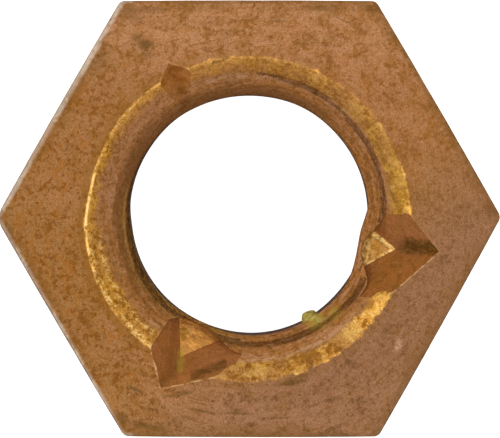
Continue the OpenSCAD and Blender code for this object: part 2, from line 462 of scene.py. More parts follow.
def ridge_block(mark):
    """The ridge round the hole that a mark's flanks stop at, as a block."""
    ridge = mark["ridge"]
    bearings = np.arange(ridge[0][0], ridge[-1][0] + 0.01, 0.5)
    outer = np.interp(bearings, [row[0] for row in ridge], [row[1] for row in ridge])
    outer = np.convolve(np.pad(outer, 3, mode="edge"), np.ones(7) / 7, mode="valid")
    outer += np.array([0.022 * noise_at(b * 0.35, 3.3, mark["tip"][0]) for b in bearings])
    angles = np.radians(bearings)
    verts, n = [], len(bearings)
    for z, lean in ((HEIGHT - 2.6, 0.10), (HEIGHT - 0.2, -0.05)):
        for radius in (outer + lean, np.full(n, 2.9)):
            for x, y in zip(radius * np.cos(angles), radius * np.sin(angles)):
                verts.append((x, y, z))
    # first vertex of each row: low or high, outer or inner
    faces = []
    low_out, low_in, high_out, high_in = 0, n, 2 * n, 3 * n
    for i in range(n - 1):
        for a, b in ((low_out, high_out), (high_in, low_in), (low_in, low_out),
                     (high_out, high_in)):
            if (a, b) == (low_out, high_out):
                faces.append((a + i, a + i + 1, b + i + 1, b + i))
            elif (a, b) == (high_in, low_in):
                faces.append((b + i + 1, b + i, a + i, a + i + 1))
            elif (a, b) == (low_in, low_out):
                faces.append((b + i + 1, b + i, a + i, a + i + 1))
            else:
                faces.append((a + i, a + i + 1, b + i + 1, b + i))
    faces += [tuple(row + end for row in (low_out, high_out, high_in, low_in))
              if end == 0 else
              tuple(row + end for row in (low_out, low_in, high_in, high_out))
              for end in (0, n - 1)]
    ob = mesh_object("ridge_block", verts, faces)
    set_zone(ob, RIDGE)
    return ob


def cut(ob, tool):
    """Take the tool's shape out of the object."""
    mod = ob.modifiers.new("cut", "BOOLEAN")
    mod.operation = "DIFFERENCE"
    mod.solver = "MANIFOLD"
    mod.object = tool
    old = ob.data
    ob.data = evaluated_mesh(ob, preserve_all_data_layers=True)
    bpy.data.meshes.remove(old)


def build_nut():
    verts, faces = nut_blank()
    nut = mesh_object("nut_staked", raise_lips(verts), faces)
    set_zone(nut, BLANK)
    tools = [tap()]
    set_zone(tools[0], THREAD)
    cut(nut, tools[0])
    set_coords(nut.data, swell(coords(nut.data)))
    for i, mark in enumerate(MARKS):
        tool = punch(mark, i)
        tools.append(tool)
        if mark["ridge"]:
            block = ridge_block(mark)
            tools.append(block)
            cut(tool, block)
        cut(nut, tool)
    for tool in tools:
        mesh = tool.data
        bpy.data.objects.remove(tool)
        bpy.data.meshes.remove(mesh)
    finish_mesh(nut.data)
    nut.data.set_sharp_from_angle(angle=math.radians(21))
    return nut


# ------------------------------------------------------------ deposit in bore
# bearing, distance from the axis, depth below the top face, radius
LUMPS = ((-58.6, 3.90, 1.60, 0.31), (-56.0, 4.20, 1.30, 0.31), (-57.4, 4.05, 1.46, 0.30),
         (-51.0, 4.33, 1.10, 0.20), (-61.5, 4.03, 1.60, 0.22), (-47.0, 4.44, 0.96, 0.13),
         (-53.0, 4.12, 1.52, 0.18))


def build_deposit():
    """Round lumps fused into one skin, then roughened."""
    bm = bmesh.new()
    for bearing, distance, depth, size in LUMPS:
        a = math.radians(bearing)
        place = Vector((distance * math.cos(a), distance * math.sin(a), HEIGHT - depth))
        matrix = (Matrix.Translation(place) @ Matrix.Rotation(a, 4, "Z")
                  @ Matrix.Diagonal((0.9, 1.0, 0.95, 1)))
        bmesh.ops.create_icosphere(bm, subdivisions=3, radius=size, matrix=matrix)
    mesh = bpy.data.meshes.new("crust")
    bm.to_mesh(mesh)
    bm.free()
    ob = bpy.data.objects.new("crust", mesh)
    bpy.context.scene.collection.objects.link(ob)
    mod = ob.modifiers.new("skin", "REMESH")
    mod.mode = "VOXEL"
    mod.voxel_size = 0.018
    skin = evaluated_mesh(ob)
    ob.data = skin
    verts = coords(skin)
    normals = np.empty(len(skin.vertices) * 3, np.float32)
    skin.vertices.foreach_get("normal", normals)
    normals = normals.reshape(-1, 3)
    # height and frequency of each layer of roughness
    layers = ((0.030, 5.5), (0.024, 13.0), (0.012, 31.0))
    swelling = np.array([sum(height * noise.noise(Vector(v) * rate) for height, rate in layers)
                         for v in verts])
    set_coords(skin, verts + normals * swelling[:, None])
    ob.name = "verdigris_crust"
    finish_mesh(skin)
    return ob


nut = build_nut()
crust = build_deposit()


# --------------------------------------------------------------- shader tools
def srgb(red, green, blue):
    """Linear colour from 8-bit sRGB."""
    parts = (red / 255, green / 255, blue / 255)
    return tuple(c / 12.92 if c <= 0.04045 else ((c + 0.055) / 1.055) ** 2.4
                 for c in parts) + (1.0,)


class Field:
    """A node's output. Arithmetic on it adds math nodes, operands in the order written."""

    def __init__(self, graph, socket):
        self.graph = graph
        self.socket = socket

    def __add__(self, other):
        return self.graph.calc("ADD", self, other)

    def __radd__(self, other):
        return self.graph.calc("ADD", other, self)

    def __sub__(self, other):
        return self.graph.calc("SUBTRACT", self, other)

    def __rsub__(self, other):
        return self.graph.calc("SUBTRACT", other, self)

    def __mul__(self, other):
        return self.graph.calc("MULTIPLY", self, other)

    def __truediv__(self, other):
        return self.graph.calc("DIVIDE", self, other)

    def __abs__(self):
        return self.graph.calc("ABSOLUTE", self)

    def times_plus(self, factor, term):
        return self.graph.calc("MULTIPLY_ADD", self, factor, term)

    def ramp(self, start, end, gives=(0.0, 1.0)):
        """Smooth step between the two given values as the field goes from start to end."""
        return self.graph.node("ShaderNodeMapRange", (self, start, end, *gives),
                               interpolation_type="SMOOTHSTEP", clamp=True)

    def fall(self, start, end):
        return self.ramp(start, end, gives=(1.0, 0.0))

    def band(self, middle, half, soft):
        """1 within half of the middle, fading to 0 over soft."""
        return abs(self - middle).fall(half, half + soft)

    def sway(self, amount):
        """A noise centred on 0 and scaled."""
        return (self - 0.5) * amount

    def blend(self, at_zero, at_one):
        return self.graph.node("ShaderNodeMix", {0: self, 2: at_zero, 3: at_one},
                               data_type="FLOAT", clamp_factor=True)


class Graph:
    """Node tree of a material or a world. Other fields are kept on it as attributes."""

    def __init__(self, owner):
        owner.use_nodes = True
        self.owner = owner
        self.tree = owner.node_tree
        self.tree.nodes.clear()

    def node(self, kind, values=(), output=0, **settings):
        """Add a node, fill its inputs in order or by key, and return one output."""
        node = self.tree.nodes.new(kind)
        node.location.x = 30 * len(self.tree.nodes)
        for key, value in settings.items():
            setattr(node, key, value)
        for key, value in values.items() if isinstance(values, dict) else enumerate(values):
            if isinstance(value, Field):
                self.tree.links.new(value.socket, node.inputs[key])
            else:
                node.inputs[key].default_value = value
        return Field(self, node.outputs[output])

    def finish(self, kind, shader):
        """Join a shader to the tree's output node."""
        end = self.tree.nodes.new(kind)
        self.tree.links.new(shader.socket, end.inputs["Surface"])
        return self.owner

    def calc(self, operation, *values, clamp=False):
        return self.node("ShaderNodeMath", values, operation=operation, use_clamp=clamp)

    def most(self, first, *rest):
        return self.calc("MAXIMUM", first, self.most(*rest) if len(rest) > 1 else rest[0])

    def hypot(self, a, b):
        return self.calc("SQRT", a * a + b * b)

    def vector(self, operation, *values):
        output = 1 if operation in ("DOT_PRODUCT", "DISTANCE") else 0
        return self.node("ShaderNodeVectorMath", values, output, operation=operation)

    def millimetres(self):
        place = self.node("ShaderNodeTexCoord", output="Object")
        return self.node("ShaderNodeVectorMath", {0: place, "Scale": 1000.0}, operation="SCALE")

    def xyz(self, x, y, z):
        return self.node("ShaderNodeCombineXYZ", (x, y, z))

    def split(self, vector):
        first = self.node("ShaderNodeSeparateXYZ", (vector,))
        return [Field(self, socket) for socket in first.socket.node.outputs]

    def noise(self, place, scale, detail, rough=0.5, warp=0.0):
        return self.node("ShaderNodeTexNoise", {"Vector": place, "Scale": scale,
                         "Detail": detail, "Roughness": rough, "Distortion": warp})

    def mix(self, amount, under, over, blend="MIX"):
        """Mix two colours, each a field or an 8-bit sRGB triple."""
        under, over = (srgb(*c) if isinstance(c, tuple) else c for c in (under, over))
        return self.node("ShaderNodeMix", {0: amount, 6: under, 7: over}, output=2,
                         data_type="RGBA", blend_type=blend, clamp_factor=True)

    def bump(self, height):
        return self.node("ShaderNodeBump", {"Strength": 0.9, "Distance": 0.001,
                                            "Height": height})


class Coat:
    """A colour built up from layers."""

    def __init__(self, graph, colour):
        self.graph = graph
        self.colour = colour

    def add(self, *layers):
        """Lay colours on in turn. Each layer: where, colour, and its strength if not full."""
        for mask, colour, *strength in layers:
            if strength:
                mask = mask * strength[0]
            self.colour = self.graph.mix(mask, self.colour, colour)


# ---------------------------------------------------------------- aged bronze
# Noises in millimetres: name, shift of the pattern, scale, detail, roughness, distortion
PLAIN_NOISES = (
    ("broad", None, 0.22, 2, 0.5, 0.0),
    ("mottle", None, 0.8, 4, 0.6, 0.3),
    ("blotch", (11.0, 4.0, 2.0), 1.35, 4, 0.6, 0.5),
    ("small", (3.0, 9.0, 5.0), 5.0, 4, 0.65, 0.0),
    ("grain", None, 9.5, 3, 0.75, 0.0),
    ("fine", None, 19.0, 2, 0.7, 0.0),
    ("cloud", (21.0, 3.0, 8.0), 2.3, 4, 0.62, 0.3),
    ("dots", (5.0, 17.0, 1.0), 6.2, 3, 0.62, 0.25),
)
# Noises that follow the axis: name, rate inwards, rate round, shift inwards, detail,
# roughness, distortion
POLAR_NOISES = (
    ("rings", 7.0, 4.5, 0.0, 4, 0.62, 0.35),            # turning marks
    ("fine_rings", 24.0, 6.0, 3.0, 2, 0.5, 0.0),
    ("specks", 3.6, 13.0, 9.0, 4, 0.68, 0.7),           # patina, drawn out round the axis
    ("fine_specks", 6.5, 25.0, 4.0, 3, 0.70, 0.6),
    ("chatter", 1.6, 46.0, 5.0, 3, 0.62, 0.2),          # in the countersink
    ("arcs", 8.5, 9.0, 31.0, 3, 0.60, 0.25),
    ("glints", 8.0, 26.0, 14.0, 3, 0.60, 0.3),
)
# Noises stretched along the axes: name, rate by axis, detail, roughness, distortion
STRETCHED_NOISES = (
    ("bars", (9.0, 9.0, 0.5), 4, 0.62, 0.2),            # drawing marks along the bar
    ("side_specks", (5.0, 5.0, 2.6), 4, 0.66, 0.4),
    ("side_patches", (0.55, 0.55, 0.30), 4, 0.60, 0.4),
)
# Dark stains on the top face: x, y, half length, half width, turn, strength
STAINS = (
    (-3.38, 5.68, 0.34, 0.26, 20, 0.75), (-3.65, 5.90, 0.30, 0.22, -10, 0.45),
    (-3.30, 5.35, 0.30, 0.20, 0, 0.40), (-3.9, 6.75, 0.7, 0.40, -40, 0.40),
    (-4.9, 5.2, 0.35, 0.75, -28, 0.35), (-7.95, -0.45, 0.28, 0.42, 0, 0.55),
    (7.95, 0.30, 0.35, 0.35, 0, 0.45), (4.1, 6.85, 0.75, 0.16, -12, 0.50),
    (-3.3, 6.85, 0.9, 0.18, 0, 0.40), (-3.2, -6.85, 0.9, 0.16, -12, 0.60),
    (-2.0, -6.55, 0.5, 0.10, -8, 0.35), (-5.6, 4.6, 0.35, 0.8, -28, 0.28),
    (2.3, 6.9, 0.9, 0.15, 0, 0.40), (-2.2, -5.75, 0.8, 0.12, 12, 0.45),
    (1.35, -5.40, 0.72, 0.13, 10, 0.75), (1.75, -5.18, 0.35, 0.10, 20, 0.55),
    (3.26, -4.71, 0.15, 0.13, 0, 0.65), (-1.6, -6.32, 0.60, 0.07, -12, 0.55),
    (-0.4, -6.40, 0.70, 0.06, -3, 0.50), (-3.7, -5.60, 0.40, 0.07, -25, 0.55),
    (0.9, -6.55, 0.8, 0.06, 2, 0.50), (5.1, -4.3, 0.10, 0.45, -25, 0.35),
    (-4.15, -6.55, 0.35, 0.20, -30, 0.55), (2.9, -5.9, 0.30, 0.12, 15, 0.35),
    (4.6, -2.6, 0.10, 0.60, -8, 0.30),
)
# Paint of each mark: strength of the burrs' painted highlight right and left of the way
# inwards;
# the painted shade along the valley: its offset across the valley, half width and strength
MARK_PAINT = (((0.35, 1.0), 0.12, 0.40, 0.88), ((1.0, 1.0), 0.0, 0.30, 0.42),
              ((0.25, 0.25), 0.0, 0.30, 0.15))
OLIVE = (138, 80, 8)


def find_surfaces(net):
    """Coordinates, and masks of the kinds of surface."""
    net.place = net.millimetres()
    net.x, net.y, z = net.split(net.place)
    net.radius = radius = net.hypot(net.x, net.y)
    safe = net.most(radius, 0.001)
    # cosine and sine of the bearing
    net.cos, net.sin = cos, sin = net.x / safe, net.y / safe
    net.depth = depth = HEIGHT - z
    zone = net.node("ShaderNodeAttribute", output="Fac", attribute_name="zone",
                    attribute_type="GEOMETRY")
    base, net.thread, net.flank, net.floor, net.ridge = (
        zone.band(float(kind), half=0.3, soft=0.1)
        for kind in (BLANK, THREAD, FLANK, FLOOR, RIDGE))
    net.top = depth.fall(0.02, 0.06) * base
    bottom = z.fall(0.01, 0.05) * base
    net.ends = net.most(net.top, bottom)
    net.outer = radius.ramp(6.9, 7.05)
    net.wall = net.outer * depth.ramp(0.03, 0.12) * z.ramp(0.05, 0.4)
    # radius from the mouth's own centre: it was cut a little off centre, with a ragged edge
    off = radius + cos.times_plus(0.029, sin * 0.020)
    off = off - cos.ramp(-0.60, -0.92) * sin.ramp(0.20, -0.15, gives=(0.0, 0.042))
    off = off + cos.ramp(-0.76, -0.93) * sin.ramp(-0.08, 0.20, gives=(0.0, 0.055))
    net.mouth_radius = off
    net.sink = off.ramp(5.46, 5.36) * depth.ramp(1.4, 1.1) * base
    net.low_sink = radius.ramp(5.2, 5.1) * z.ramp(1.2, 1.0) * base
    net.bore = radius.ramp(4.72, 4.52) * z.ramp(0.7, 1.1)


def make_noises(net):
    """Every noise of the tables as an attribute of its own name, and a few made from them."""
    place = net.place
    for name, shift, scale, *look in PLAIN_NOISES:
        moved = net.vector("ADD", place, shift) if shift else place
        setattr(net, name, net.noise(moved, scale, *look))
    # the way inwards goes on down the bore's wall
    inward = net.radius - net.most(net.depth - 0.9, 0.0)
    for name, rate, rate_round, shift, *look in POLAR_NOISES:
        polar = net.xyz(inward.times_plus(rate, shift), net.cos * rate_round,
                        net.sin * rate_round)
        setattr(net, name, net.noise(polar, 1.0, *look))
    for name, rates, *look in STRETCHED_NOISES:
        setattr(net, name, net.noise(net.vector("MULTIPLY", place, rates), 1.0, *look))
    net.pits = net.node("ShaderNodeTexVoronoi",
                        {"Vector": net.vector("ADD", place, (1.0, 2.0, 3.0)), "Scale": 5.2})

    # light scratches in two directions
    moved = net.vector("ADD", place, (4, 1, 0))
    turned = net.node("ShaderNodeVectorRotate", {"Vector": place, "Angle": math.radians(52)},
                      rotation_type="Z_AXIS")
    net.scratch = net.most(*(
        net.noise(net.vector("MULTIPLY", way, rates), 1.0, detail=2, rough=0.4,
                  warp=0.15).ramp(0.70, 0.75)
        for way, rates in ((moved, (0.5, 15.0, 2.0)), (turned, (0.45, 17.0, 2.0)))))

    # fewer specks towards the lower right
    net.calm = (net.x * 0.8 - net.y).ramp(0.5, 6.5, gives=(0.0, 0.026))
    net.specks = net.specks - net.calm
    net.fine_specks = net.fine_specks - net.calm
    # the grain shows least in red and most in blue
    grain = net.grain.sway(0.75) + net.fine.sway(0.85)
    net.grain_tint = net.xyz(*(1.0 + grain * gain for gain in (0.88, 1.12, 2.2)))


def grained(net, colour):
    return net.mix(1.0, colour, net.grain_tint, "MULTIPLY")


def top_blotch(net, x, y, length, width, turn):
    """A soft blotch seen from above, 1 in its middle."""
    cos, sin = math.cos(math.radians(turn)), math.sin(math.radians(turn))
    dx, dy = net.x - x, net.y - y
    distance = net.hypot((dx * cos + dy * sin) / length, (dy * cos - dx * sin) / width)
    return (distance + net.small.sway(1.0)).fall(0.25, 1.05)


def stroke(net, ax, ay, bx, by, width, wobble=0.8):
    """A soft line from a to b, seen from above, 1 along its middle."""
    length = math.hypot(bx - ax, by - ay)
    way_x, way_y = (bx - ax) / length, (by - ay) / length
    dx, dy = net.x - ax, net.y - ay
    along = net.calc("MINIMUM", net.most(dx * way_x + dy * way_y, 0.0), length)
    distance = net.hypot(dx - along * way_x, dy - along * way_y)
    return (distance + net.small.sway(width * wobble * 2)).fall(width * 0.25, width)


def patina(net):
    """Dull brown patina over the whole blank; starts the main coat."""
    x, y, top, wall, ends = net.x, net.y, net.top, net.wall, net.ends
    # pinker at the top and bottom right, yellower on the left
    lean = y.times_plus(0.020, x * 0.012) + abs(y) * 0.012
    tone = net.broad.times_plus(0.8, lean) + net.mottle * 0.35
    low_right = (x * 0.8 - y).ramp(2.0, 7.0)
    coat = net.coat = Coat(net, net.mix(tone.ramp(0.42, 0.62), (166, 114, 58), (172, 118, 68)))
    coat.add(
        (tone.ramp(0.56, 0.80), (182, 124, 78)),
        (low_right, (155, 108, 76), 0.75),
        (net.most(y.ramp(4.4, 6.2), y.ramp(-4.8, -6.4, gives=(0.0, 0.35))), (200, 144, 98),
         top * 0.38),
        (net.blotch.ramp(0.50, 0.68), (146, 98, 46), 0.34),
    )

    # clouds, then specks of orange and olive, fainter on the upper right
    faint = x.times_plus(0.5, y).ramp(-2.0, 5.0, gives=(1.0, 0.64))
    heavy = net.cloud.sway(0.45) + net.blotch.sway(0.30)
    net.olive_specks = (net.dots - net.calm + heavy).ramp(0.525, 0.635) * (faint * 0.88)
    net.holes = net.pits.ramp(0.13, 0.04) * net.blotch.ramp(0.47, 0.56)
    coat.add(
        ((net.cloud - net.calm).ramp(0.48, 0.64) * wall.blend(0.58, 0.0),
         net.mix(low_right, (154, 102, 34), (142, 96, 60))),
        (net.specks.ramp(0.49, 0.62) * faint * wall.blend(0.66, 0.0),
         net.mix(low_right, (168, 102, 28), (138, 92, 54)),
         low_right.ramp(0.0, 1.0, gives=(1.0, 0.70))),
        (net.olive_specks, net.mix(low_right, OLIVE, (116, 76, 36)),
         wall.blend(low_right.ramp(0.0, 1.0, gives=(1.0, 0.72)), 0.3)),
        (net.side_patches.ramp(0.48, 0.64), (122, 82, 38), wall * 0.45),
        (net.side_patches.ramp(0.44, 0.34), (196, 136, 84), wall * 0.40),
        (net.side_specks.ramp(0.52, 0.68), OLIVE, wall * 0.55),
        (net.holes, (70, 50, 24), 0.50),
        # short dark strokes that follow the turning marks
        (net.arcs.ramp(0.575, 0.68), (144, 92, 30), top * y.ramp(1.0, -3.0).blend(0.35, 0.70)),
        # lighter and darker streaks left by turning and drawing
        (net.rings.ramp(0.56, 0.74), (192, 140, 96), ends * 0.22),
        (net.rings.ramp(0.44, 0.28), (124, 84, 38), ends * 0.45),
        (net.bars.ramp(0.54, 0.74), (190, 138, 88), wall * 0.35),
        (net.bars.ramp(0.45, 0.28), (112, 78, 36), wall * 0.50),
        (net.scratch, (204, 156, 112), ends * 0.30),
    )
    for *shape, strength in STAINS:
        coat.add((top_blotch(net, *shape), (98, 66, 6), top * strength))
    # one pale blotch by the lower right side
    coat.add((top_blotch(net, x=4.90, y=-4.16, length=0.18, width=0.28, turn=-30),
              (214, 164, 130), top * 0.55))
    coat.colour = grained(net, coat.colour)


def bore_paint(net):
    """Bore and thread: a browner, slightly pink coat, darkened with depth and on the upper left
    as painted shade.
    """
    cos, sin, radius, depth = net.cos, net.sin, net.radius, net.depth
    rings, dots, small = net.rings, net.dots, net.small
    inner = Coat(net, net.mix(net.mottle.ramp(0.40, 0.62), (188, 120, 46), (186, 120, 62)))
    inner.add(
        (rings.ramp(0.52, 0.62), (226, 172, 134), 0.72),
        (rings.ramp(0.48, 0.38), (108, 66, 18), 0.80),
        (small.ramp(0.52, 0.68), (184, 98, 30), 0.40),
        ((net.fine_specks + dots * 0.6).ramp(0.80, 0.93), (122, 80, 8), 0.60),
        (dots.ramp(0.53, 0.64), (112, 70, 26), 0.55),
        (dots.ramp(0.47, 0.36), (208, 150, 112), 0.40),
    )
    # painted shade at the top and on the left, laid on as a dull dark film with patina specks
    upper_left = cos.times_plus(-0.643, sin * 0.766).ramp(-0.25, 0.42)
    shade_depth = cos.ramp(0.0, -0.9, gives=(0.78, 0.60)) + small.sway(0.5)
    painted_shade = ((depth - shade_depth).ramp(0.0, 0.26)
            * (upper_left * depth.ramp(1.35, 1.75, gives=(0.92, 0.35))))
    film = Coat(net, net.mix(net.specks.ramp(0.45, 0.58), (146, 94, 50), (108, 68, 14)))
    film.add((rings.ramp(0.54, 0.66), (186, 128, 92), 0.45),
             (dots.ramp(0.52, 0.64), (92, 58, 16), 0.60))
    # painted shade on the upper left, just inside the hole's edge
    upper_edge_shade = (radius.ramp(4.46, 4.14)
             * cos.times_plus(-0.6, sin * 0.8).ramp(0.15, 0.60))
    low_left = cos.times_plus(-0.8, sin * -0.6).ramp(0.50, 0.85)
    crest_highlight = radius.band(4.10, half=0.018, soft=0.030) * small.ramp(0.36, 0.50) * low_left
    inner.add(
        (painted_shade, film.colour),
        (upper_edge_shade, (98, 58, 30), 0.55),
        # rubbed and olive on the lower left
        (low_left, net.mix(net.fine_specks.ramp(0.46, 0.56), (190, 140, 56), (96, 62, 14)),
         radius.ramp(4.34, 4.06) * 0.75),
        # darker deeper down, less so on the lower left: painted shade
        (depth.ramp(2.4, 3.6, gives=(0.0, 0.55)), (64, 44, 16), low_left.blend(1.0, 0.45)),
        # the thread's crest as a thin painted highlight
        (crest_highlight, (206, 158, 84), 0.75),
    )
    net.coat.add((net.most(net.bore, net.thread), grained(net, inner.colour), 0.95))


def groove_line_shade(net):
    """Painted shade along the line where the first groove opens into the countersink."""
    bearing = net.calc("ARCTAN2", net.y - 0.06, net.x) * (180 / math.pi)
    bearing = bearing - net.calc("GREATER_THAN", bearing, 108.0) * 360.0
    middle = bearing.times_plus(-PITCH / 360, THREAD_DEPTH + PITCH * THREAD_BEARING / 360)
    inside = opening_radius(middle) - net.radius
    root = ((1.0 - net.most(net.flank, net.floor)) * inside.band(0.09, half=0.02, soft=0.13)
            * (middle.ramp(0.45, 0.80, gives=(0.25, 1.0))
               * net.small.ramp(0.20, 0.55, gives=(0.5, 1.0))))
    # the groove's root as a soft dark line: painted shade
    net.coat.add((root, (116, 72, 28), 0.36))


def gold_colour(net, right):
    """Colour of the bright metal in the countersink, with painted highlights: glints, pale dots
    and bright patches.
    """
    cos, sin, radius = net.cos, net.sin, net.radius
    chatter, dots, blotch = net.chatter, net.dots, net.blotch
    streak = (cos.ramp(0.45, 0.80) * sin.ramp(-0.25, 0.10)).times_plus(0.50, 0.15)
    glints = net.glints.ramp(0.52, 0.68) * sin.times_plus(-0.6, cos).ramp(
        0.1, 0.8, gives=(0.30, 0.90))
    glints = glints * radius.ramp(4.70, 5.12, gives=(0.35, 1.0))
    right_gold = net.mix(radius.ramp(5.14, 4.80), (228, 164, 74), (255, 200, 92))
    gold = Coat(net, net.mix(right, (248, 184, 80), right_gold))
    gold.add(
        (chatter.ramp(0.46, 0.66), (238, 192, 110), streak),
        (chatter.ramp(0.50, 0.34), (148, 98, 24), streak),
        (net.cloud.ramp(0.46, 0.64), net.mix(right, (190, 134, 40), (204, 144, 46)), 0.55),
        (net.specks.ramp(0.52, 0.64), (166, 110, 26), 0.50),
        (dots.ramp(0.52, 0.64), (160, 106, 16), right.blend(0.80, 0.60)),
        # pale dots: painted highlights
        (dots.ramp(0.46, 0.34), (255, 206, 118), right.blend(0.45, 0.60)),
        (glints, (250, 204, 122)),
        (net.fine_specks.ramp(0.56, 0.68), (128, 88, 24), 0.55),
        ((blotch + dots.sway(0.4)).ramp(0.47, 0.57), (164, 108, 16), right * 0.80),
        # bright patches on the right: painted highlights
        ((blotch + chatter.sway(0.6)).ramp(0.48, 0.38), (255, 210, 128), right * 0.75),
        (sin.ramp(0.36, 0.80, gives=(0.0, 0.26)), (224, 166, 106)),
        # brightest yellow where the glints are, on the right: painted highlight
        (cos.ramp(0.72, 0.90), (255, 208, 104), glints.ramp(0.05, 0.4, gives=(0.25, 0.55))),
    )
    # red, green and blue gains on the left and on the right
    gains = ((1.08, 1.02), (1.0, 0.92), (0.86, 0.72))
    tint = net.xyz(*(right.blend(*pair) for pair in gains))
    return net.mix(1.0, grained(net, gold.colour), tint, "MULTIPLY")


def countersink_paint(net):
    """Bright metal on the outer part of the countersinks, and the duller slope inside it."""
    cos, sin, radius, sink = net.cos, net.sin, net.radius, net.sink
    small, cloud, dots, specks = net.small, net.cloud, net.dots, net.specks
    right = sin.times_plus(-0.30, cos).ramp(-0.50, 0.30)
    inner_edge = right.blend(4.76, 4.66) + (small.sway(0.40) + cloud.sway(0.40))
    inner_edge = inner_edge + cos.ramp(-0.15, -0.60) * sin.ramp(-0.35, 0.05, gives=(0.0, 0.20))
    inner_edge = inner_edge + cos.ramp(0.2, 0.5) * sin.ramp(-0.2, -0.5, gives=(0.0, 0.08))
    outer_edge = (net.mouth_radius + (small.sway(0.20) + cloud.sway(0.36))).ramp(5.38, 5.28)
    bright = ((radius - inner_edge).ramp(-0.07, 0.15)
              * net.most(sink * outer_edge, net.low_sink))
    keep = (net.mottle + specks * 0.5).ramp(0.86, 0.66).blend(0.60, 1.0)
    net.bright = bright = bright * (keep * right.blend(0.95, 1.0))

    slope = (1.0 - bright) * (sink * radius.ramp(5.2, 4.9))
    pink = (1.0 - bright) * (radius.ramp(4.24, 4.76) * radius.ramp(5.24, 5.10) * sink)
    pink = pink * (small.ramp(0.64, 0.48, gives=(0.30, 1.0))
                   * dots.ramp(0.60, 0.46, gives=(0.30, 1.0)))
    pink_colour = net.mix(sin.ramp(-0.2, 0.2), (204, 142, 76), (206, 146, 102))
    # a pale line where the countersink turns steeper: rubbed metal with a painted highlight
    pale = ((radius + small.sway(0.15)).band(4.68, half=0.02, soft=0.10)
            * (sink * specks.ramp(0.56, 0.42)))
    pale = pale * net.most(sin.ramp(0.35, 0.75), sin.ramp(-0.5, -0.85),
                           cos.ramp(-0.7, -0.95, gives=(0.0, 0.30)))
    # rubbed spots in two rows on the lower left, painted as bright highlights
    rows = net.most(net.mouth_radius.band(5.22, half=0.05, soft=0.07),
                    net.mouth_radius.band(4.86, half=0.03, soft=0.09) * 0.7)
    net.rows = rows * sink * (dots.ramp(0.50, 0.40)
                              * (cos.ramp(-0.45, -0.70) * sin.ramp(0.05, -0.35)))
    net.coat.add(
        (bright, gold_colour(net, right), 0.92),
        (slope, grained(net, (170, 116, 64)), 0.35),
        (pink, grained(net, pink_colour), sin.ramp(-0.35, 0.15, gives=(0.35, 0.55))),
        (pale, (228, 176, 134), 0.50),
        (net.rows, (255, 214, 136), 0.85),
    )


def mouth_highlight_and_stain(net):
    """The mouth's polished line, painted as a bright highlight, and dull metal just outside it
    on the left.
    """
    cos, sin, small = net.cos, net.sin, net.small
    ragged = net.mouth_radius + small.sway(0.05)
    line = ragged.band(5.290, half=0.024, soft=0.042) * net.most(net.sink, net.top)
    way_round = net.most(
        cos.times_plus(-1.0, sin * -0.12).ramp(0.72, 0.95),
        net.most(sin.ramp(0.45, 0.80) * cos.ramp(0.42, 0.10), cos.ramp(-0.35, -0.6))
        * cos.ramp(-0.20, -0.60, gives=(0.42, 0.66)))
    gaps = sin.ramp(0.0, -0.5, gives=(0.0, 0.14)) + sin.ramp(0.10, 0.45, gives=(0.0, 0.10))
    # the polished line as a painted highlight
    net.mouth = line * ((small - gaps).ramp(0.32, 0.50) * way_round)
    stain = (ragged.band(5.45, half=0.05, soft=0.14)
             * (net.top * cos.ramp(-0.3, -0.8, gives=(0.15, 0.50))))
    net.coat.add(
        (net.mouth, net.mix(net.cloud.ramp(0.42, 0.56), (255, 216, 142), (255, 190, 94))),
        (stain, (150, 98, 24)),
    )


def mark_surfaces(net):
    """The marks' brown flanks and burnished floors."""
    x, y, small, specks = net.x, net.y, net.small, net.specks
    flank = Coat(net, net.mix(net.mottle.ramp(0.40, 0.62), (170, 106, 44), (168, 106, 58)))
    flank.add(
        (small.ramp(0.46, 0.66), (156, 90, 28), 0.5),
        (net.grain.ramp(0.54, 0.68), (128, 80, 30), 0.35),
        (specks.ramp(0.46, 0.58), (122, 80, 20), 0.45),
    )
    flank.colour = grained(net, flank.colour)
    upper = x.ramp(0.0, -1.0) * y.ramp(0.0, 1.0)
    flank.add((upper, net.mix(net.cloud.ramp(0.42, 0.60), grained(net, (186, 120, 58)),
                              grained(net, (162, 96, 26))), 0.75))
    # the upper mark's foot fades into the shoulder
    foot = 1.0 - upper * net.radius.ramp(5.00, 4.55, gives=(0.0, 0.85))
    right_upper = net.flank * x.ramp(2.5, 3.2) * y.ramp(-1.20, -1.00)

    floor = Coat(net, net.mix(small.ramp(0.44, 0.62), (196, 140, 70), (184, 128, 58)))
    worn = x.ramp(0.0, 1.0) * (small + net.grain * 0.3).ramp(0.64, 0.78)
    floor.add(
        (specks.ramp(0.50, 0.60), (164, 108, 30), 0.6),
        (worn, (246, 214, 138), 0.8),
        (x.ramp(0.0, -1.0, gives=(0.0, 0.55)), (226, 158, 80)),
    )
    upper_floor = net.mix(net.rings.ramp(0.42, 0.58), (156, 96, 36), (176, 114, 56))
    floor_colour = net.mix(upper, grained(net, floor.colour), grained(net, upper_floor))
    net.gold_floor = net.floor * (1.0 - upper)
    net.coat.add(
        (net.flank * foot, flank.colour, 0.95),
        (right_upper, grained(net, (182, 120, 82)), small.ramp(0.35, 0.60, gives=(0.10, 0.40))),
        (net.ridge, grained(net, (140, 92, 44))),
        (net.floor * foot, floor_colour, 0.95),
    )


